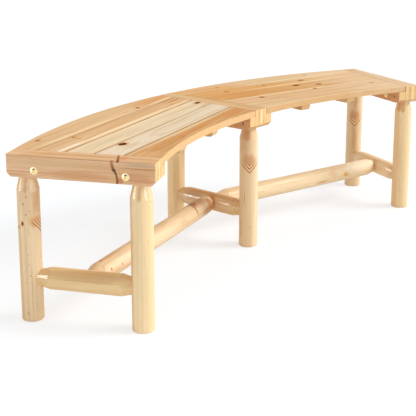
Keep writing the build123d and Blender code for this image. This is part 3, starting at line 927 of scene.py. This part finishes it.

# Stains of the legs, and below of the stretchers, with painted light and shade among them: along, turn, half
# length, half width, colour and strength
LEG_STAINS_AND_SHADE = {
    "leg_left_front": [
        # The row at turn -72 is painted shade along the leg's left edge
        (0.20, -72, 0.30, 0.014, (210, 160, 106), 0.7), (0.20, -1, 0.25, 0.003, (228, 194, 146), 0.35),
        (0.25, -28, 0.25, 0.012, (232, 200, 152), 0.4),
    ],
    "leg_left_back": [
        (0.345, 52, 0.060, 0.014, (222, 166, 110), 0.5), (0.340, -8, 0.060, 0.020, (222, 184, 146), 0.5),
        (0.367, -9, 0.0030, 0.0022, PIN, 0.9), (0.344, -1, 0.0030, 0.0022, PIN, 0.9),
        (0.325, -16, 0.0030, 0.0024, PIN, 0.9), (0.297, -6, 0.0030, 0.0022, PIN, 0.9),
        (0.306, 14, 0.0022, 0.0018, PIN, 0.6), (0.380, -7, 0.007, 0.002, PIN, 0.8),
        (0.266, -38, 0.0018, 0.012, (176, 120, 74), 0.6), (0.259, -60, 0.0035, 0.013, (168, 112, 66), 0.7),
        (0.276, 46, 0.018, 0.024, (224, 160, 96), 0.8), (0.090, 12, 0.090, 0.0012, (186, 136, 90), 0.5),
        (0.187, -1, 0.002, 0.0016, PIN, 0.6), (0.161, 1, 0.002, 0.0016, PIN, 0.7),
        (0.140, -24, 0.002, 0.0016, PIN, 0.5), (0.130, 6, 0.0024, 0.0018, PIN, 0.8),
        (0.108, -21, 0.0022, 0.0018, PIN, 0.6), (0.065, -19, 0.002, 0.0016, PIN, 0.5),
        (0.024, -14, 0.006, 0.003, (196, 146, 100), 0.7),
    ],
    "leg_centre_front": [
        (0.286, -2, 0.030, 0.032, (206, 148, 96), 0.7), (0.345, -32, 0.060, 0.020, (212, 160, 108), 0.5),
        (0.165, -29, 0.030, 0.0012, (150, 96, 58), 0.7), (0.070, -55, 0.050, 0.0030, (196, 142, 94), 0.6),
    ],
    "leg_centre_back": [(0.170, 3, 0.130, 0.016, (214, 166, 114), 0.35)],
    "leg_right_front": [
        (0.200, -56, 0.300, 0.020, (222, 176, 124), 0.45),
        (0.150, -15, 0.160, 0.0014, (212, 168, 118), 0.35),
    ],
    "leg_right_back": [
        (0.284, -10, 0.028, 0.026, (196, 138, 94), 0.7), (0.200, -6, 0.070, 0.012, (206, 156, 112), 0.5),
        (0.345, 0, 0.045, 0.009, (204, 152, 106), 0.5),
    ],
}
LEG_RIDGES = {
    "leg_left_back": [ridge(0.2435, 82, 0.032, height=0.029, pitch=0.0095)],
    "leg_centre_front": [ridge(0.2465, 2, 0.030)],
    "leg_right_back": [ridge(0.2410, -4, 0.028, height=0.030, pitch=0.0130)],
}


def cut_stains(turn, half_width):
    """Deeper wood on one cut flat of a leg's neck, which tapers from the root to the tip."""
    marks = []
    for along, depth in CUT_PLACES:
        point = Vector(on_round(along, turn)) * (depth / LOG_RADIUS)
        marks.append(stain_and_painted_light((along, point.y, point.z), (0.016, half_width, half_width), CUT, 0.55))
    return marks


def leg_marks(node):
    """Stains, branch ridge and cut flats of one leg."""
    marks = round_stains_and_painted_light(LEG_STAINS_AND_SHADE.get(node, ())) + LEG_RIDGES.get(node, [])
    for turn, half_width in NECK_FLATS.get(node, ()):
        marks += cut_stains(turn, half_width)
    return marks


seed = 20
for rail_name, rail in RAILS.items():
    for end_name, end in ENDS.items():
        node = f"leg_{rail_name}_{end_name}"
        place = place_on(leg_foot(rail, end), UP, FRONT_LEFT)
        turns = {1: LEG_NECK_TURN}
        knots = LEG_KNOTS.get(node, ())
        seed += 1
        add_log(node, place, RAIL_BOTTOM, turns, seed, LEG_WOODS[node], knots, leg_marks(node))


# Stretchers: Z of a stretcher's place is up, and turns are counted to the right of its X

GLINT_TURN = -66  # turn of the narrow flat that catches the light
CROSS_FRONT_TURN = {"left": GLINT_TURN + 180 / FACET_PAIRS, "centre": GLINT_TURN, "right": GLINT_TURN}
CROSS_WOODS = {"left": LOG_WARM, "centre": LOG_BROWN, "right": LOG}
CROSS_STAINS_AND_SHADE = {
    "left": [
        # The row at turn -38 is painted shade: a browner upper side under the seat
        (0.134, -70, 0.140, 0.0030, (210, 166, 100), 0.5), (0.134, -38, 0.140, 0.022, (210, 166, 114), 0.6),
    ],
    "centre": [
        # Painted shade: browner wood beside the joint with the long stretchers and along the top
        (0.112, -75, 0.022, 0.030, (190, 112, 56), 0.8), (0.134, -20, 0.130, 0.012, (180, 122, 78), 0.6),
        (0.190, -60, 0.050, 0.020, (188, 132, 86), 0.5),
    ],
    "right": [(0.110, -75, 0.024, 0.026, (200, 134, 76), 0.6)],
}
for rail_name, rail in RAILS.items():
    start = leg_foot(rail, ENDS["front"]) + along_rail(rail) * NECK_INSIDE + UP * STRETCHER_HEIGHT
    place = place_on(start, along_rail(rail), UP)
    length = 2 * (LEG_OFFSET - NECK_INSIDE)
    turns = {0: CROSS_FRONT_TURN[rail_name], 1: GLINT_TURN}
    wood = CROSS_WOODS[rail_name]
    marks = round_stains_and_painted_light(CROSS_STAINS_AND_SHADE[rail_name])
    seed += 1
    add_log(f"cross_stretcher_{rail_name}", place, length, turns, seed, wood, (), marks)

LONG_TURN = -60
LONG_WOODS = {"left": LOG_TAN, "right": LOG_PALE}
LONG_STAINS_LIGHT_AND_SHADE = {
    "left": [
        # Painted light: pale cream where the key lamp blows out the side towards the outer end
        (0.420, -62, 0.210, 0.034, (244, 218, 180), 0.7), (0.620, -62, 0.120, 0.020, (244, 218, 180), 0.6),
        # The row at 0.045 is painted shade where this stretcher meets the middle cross stretcher
        (0.100, 10, 0.060, 0.026, (188, 134, 90), 0.7), (0.045, -60, 0.020, 0.030, (190, 120, 66), 0.7),
        (0.127, -5, 0.020, 0.020, (160, 94, 52), 0.8), (0.142, -34, 0.0040, 0.018, (126, 62, 26), 0.85),
        (0.142, -68, 0.0035, 0.014, (140, 74, 36), 0.8), (0.060, -95, 0.060, 0.014, (182, 128, 80), 0.6),
        (0.640, 5, 0.080, 0.010, (208, 148, 90), 0.6), (0.680, 5, 0.012, 0.004, (150, 90, 40), 0.7),
        (0.620, -80, 0.006, 0.005, (204, 132, 84), 0.7), (0.674, -72, 0.006, 0.006, (196, 116, 66), 0.8),
    ],
    "right": [
        # The row at 0.660 is a painted sheen near the outer end
        (0.660, 40, 0.110, 0.034, (252, 236, 208), 0.8), (0.510, 66, 0.024, 0.026, (226, 184, 134), 0.4),
        (0.570, 90, 0.015, 0.011, (224, 158, 76), 0.85), (0.450, 110, 0.040, 0.005, (204, 140, 78), 0.6),
    ],
}
for module_name, module in MODULES.items():
    run = rail_middle(module) - rail_middle(0)
    start = rail_middle(0) + run.normalized() * NECK_INSIDE + UP * STRETCHER_HEIGHT
    place = place_on(start, run, UP)
    length = run.length - 2 * NECK_INSIDE
    turns = {0: LONG_TURN, 1: LONG_TURN}
    wood = LONG_WOODS[module_name]
    marks = round_stains_and_painted_light(LONG_STAINS_LIGHT_AND_SHADE[module_name])
    seed += 1
    add_log(f"long_stretcher_{module_name}", place, length, turns, seed, wood, (), marks)


# Metal: brass bolts and cap nuts, and zinc-plated screws

TARNISH_FINENESS = 160.0
SCRATCH_FINENESS = (300.0, 2600.0, 1900.0)
SCRATCH_DEPTH = 0.0001
SCRATCH_STRENGTH = 0.2
SOCKET_SHADE = srgb(50, 38, 10)
SHADE_HEIGHT = 0.0052  # of its middle above a bolt's axis
SHADE_SQUEEZE = 0.45
SHADE_INNER = 0.0012
SHADE_OUTER = 0.0027
BRASS = {"base": srgb(255, 238, 184), "deep": srgb(242, 216, 158), "metallic": 0.30, "roughness": 0.48}
ZINC = {"base": srgb(172, 172, 166), "deep": srgb(128, 126, 118), "metallic": 1.0, "roughness": 0.34}


def socket_shade(t, local):
    """Share of shade in the socket of each bolt cap: a flat oval above the middle of either bolt."""
    beside = t.math("SUBTRACT", t.math("ABSOLUTE", local[0]), BOLT_OFFSET)
    above = t.math("SUBTRACT", local[2], SHADE_HEIGHT)
    away = t.vector("LENGTH", t.join(t.math("MULTIPLY", beside, SHADE_SQUEEZE), 0, above))
    return t.fall(away, SHADE_INNER, SHADE_OUTER)


def metal(name, place, base, deep, metallic, roughness):
    """Plated metal with faint tarnish, fine scratches and shade in the socket of each bolt cap."""
    material = bpy.data.materials.new(name)
    t = emptied(material)
    position = t.node("ShaderNodeTexCoord").outputs["Object"]
    tarnish = t.noise(t.scaled(position, TARNISH_FINENESS, TARNISH_FINENESS), 4, 0.6)
    scratch = t.noise(t.vector("MULTIPLY", position, SCRATCH_FINENESS), 2)
    colour = t.mix(t.rise(tarnish, 0.42, 0.72), base, deep)
    local = t.split(t.into(position, place, place.translation))
    colour = t.mix(socket_shade(t, local), colour, SOCKET_SHADE)
    relief = {"Height": scratch, "Distance": SCRATCH_DEPTH, "Strength": SCRATCH_STRENGTH}
    inputs = {
        "Base Color": colour, "Roughness": t.math("MULTIPLY_ADD", scratch, 0.18, roughness),
        "Metallic": metallic, "Normal": t.node("ShaderNodeBump", relief).outputs[0],
    }
    t.surface("ShaderNodeOutputMaterial", t.node("ShaderNodeBsdfPrincipled", inputs))
    return material


for rail_name, rail in RAILS.items():
    brass = metal(f"brass_{rail_name}", rail_place(rail, BOLT_HEIGHT), **BRASS)
    dress(f"bolts_{rail_name}", brass)
    dress(f"nuts_{rail_name}", brass)

zinc = metal("zinc_plating", rail_place(RAILS["centre"], BOLT_HEIGHT), **ZINC)
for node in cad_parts:
    if "screws" in node:
        dress(node, zinc)


# Floor, light and camera

AMBIENT = 0.76  # white light from all sides, beside the key lamp's
FLOOR_HALF = 30.0
FLOOR_GLOW = 0.62
FLOOR_SHARE = 0.43  # of the floor's light that its shadows can take away, as the camera sees it
FLOOR_SEEN = tinted((FLOOR_SHARE, FLOOR_SHARE, FLOOR_SHARE), 0.92, 0.955, 1.0)
FLOOR_BOUNCE = (0.90, 0.90, 0.90, 1)
WHITE = (1, 1, 1, 1)
PANEL_DISTANCE = 12.0

# Panels by name: azimuths and elevations of their edges in degrees, and brightness
PANELS = {
    "panel_left": ((122, 158), (12, 24), 25),
    "panel_left_low": ((122, 158), (2, 12), 17),
    "panel_front": ((-84, -67), (2, 13), 14),
    "panel_right": ((-24, 6), (8, 34), 3.5),
    "panel_right_side": ((-54, -41), (35, 48), 12.5),
}
SENSOR_WIDTH = 36.0
CAMERA_LENS = 82.67
CAMERA_SHIFT = -0.2
CAMERA_PLACE = (-2.3592, -1.8244, 1.0627)
CAMERA_DIP = 0.222  # radians below level
CAMERA_TURN = -0.885


def seen_ray(t):
    """1 for rays that the camera, a gloss or a glass sends out."""
    rays = t.node("ShaderNodeLightPath").outputs
    bounced = t.math("MAXIMUM", rays["Is Glossy Ray"], rays["Is Transmission Ray"])
    return t.math("MAXIMUM", rays["Is Camera Ray"], bounced)


def make_floor():
    """Wide pale floor that takes the bench's shadow."""
    corners = [(FLOOR_HALF * x, FLOOR_HALF * y, 0) for x, y in ((-1, -1), (1, -1), (1, 1), (-1, 1))]
    mesh = bpy.data.meshes.new("floor")
    mesh.from_pydata(corners, [], [(0, 1, 2, 3)])
    floor = new_object("floor", mesh)
    material = bpy.data.materials.new("pale_floor")
    t = emptied(material)
    seen = seen_ray(t)
    diffuse = t.node("ShaderNodeBsdfDiffuse", {"Color": t.mix(seen, FLOOR_BOUNCE, FLOOR_SEEN)})
    glow = t.node("ShaderNodeEmission", {"Strength": t.math("MULTIPLY", seen, FLOOR_GLOW)})
    both = t.node("ShaderNodeAddShader", {0: diffuse.outputs[0], 1: glow.outputs[0]})
    t.surface("ShaderNodeOutputMaterial", both)
    mesh.materials.append(material)
    floor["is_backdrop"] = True


def make_world():
    """White surroundings, seen in full and lighting the bench by their ambient share."""
    world = bpy.data.worlds.new("studio")
    bpy.context.scene.world = world
    t = emptied(world)
    strength = t.math("MULTIPLY_ADD", seen_ray(t), 1.0 - AMBIENT, AMBIENT)
    t.surface("ShaderNodeOutputWorld", t.node("ShaderNodeBackground", {"Color": WHITE, "Strength": strength}))


def direction(azimuth, elevation):
    azimuth = math.radians(azimuth)
    elevation = math.radians(elevation)
    level = math.cos(elevation)
    return Vector((level * math.cos(azimuth), level * math.sin(azimuth), math.sin(elevation)))


def add_sun(name, azimuth, elevation, strength, spread):
    """Broad distant lamp that stands at an azimuth and elevation in degrees."""
    lamp = bpy.data.lights.new(name, "SUN")
    lamp.energy = strength
    lamp.angle = math.radians(spread)
    made = new_object(name, lamp)
    made.rotation_euler = direction(azimuth, elevation).to_track_quat("Z", "Y").to_euler()
    made.visible_glossy = False


def panel_width(angles):
    """Width of a panel that fills the angle between two directions in degrees."""
    return 2 * PANEL_DISTANCE * math.tan(math.radians(angles[1] - angles[0]) / 2)


def add_reflected_panel(name, azimuths, elevations, brightness):
    """Studio panel between two azimuths and two elevations that only shows as a highlight on gloss."""
    middle = direction(sum(azimuths) / 2, sum(elevations) / 2)
    lamp = bpy.data.lights.new(name, "AREA")
    lamp.shape = "RECTANGLE"
    lamp.size = panel_width(azimuths)
    lamp.size_y = panel_width(elevations)
    lamp.energy = brightness * math.pi * lamp.size * lamp.size_y
    made = new_object(name, lamp)
    made.location = middle * PANEL_DISTANCE
    made.rotation_euler = middle.to_track_quat("Z", "Y").to_euler()
    made.visible_camera = False
    made.visible_diffuse = False


def add_camera():
    data = bpy.data.cameras.new("camera")
    data.sensor_width = SENSOR_WIDTH
    data.lens = CAMERA_LENS
    data.shift_y = CAMERA_SHIFT
    camera = new_object("camera", data)
    camera.location = CAMERA_PLACE
    camera.rotation_euler = Euler((math.pi / 2 - CAMERA_DIP, 0, CAMERA_TURN))
    bpy.context.scene.camera = camera


make_floor()
make_world()
add_sun("key", azimuth=-50, elevation=32, strength=1.9, spread=28)
for panel_name, (azimuths, elevations, brightness) in PANELS.items():
    add_reflected_panel(panel_name, azimuths, elevations, brightness)
add_camera()
bpy.context.scene.view_settings.view_transform = "Standard"

low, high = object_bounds()
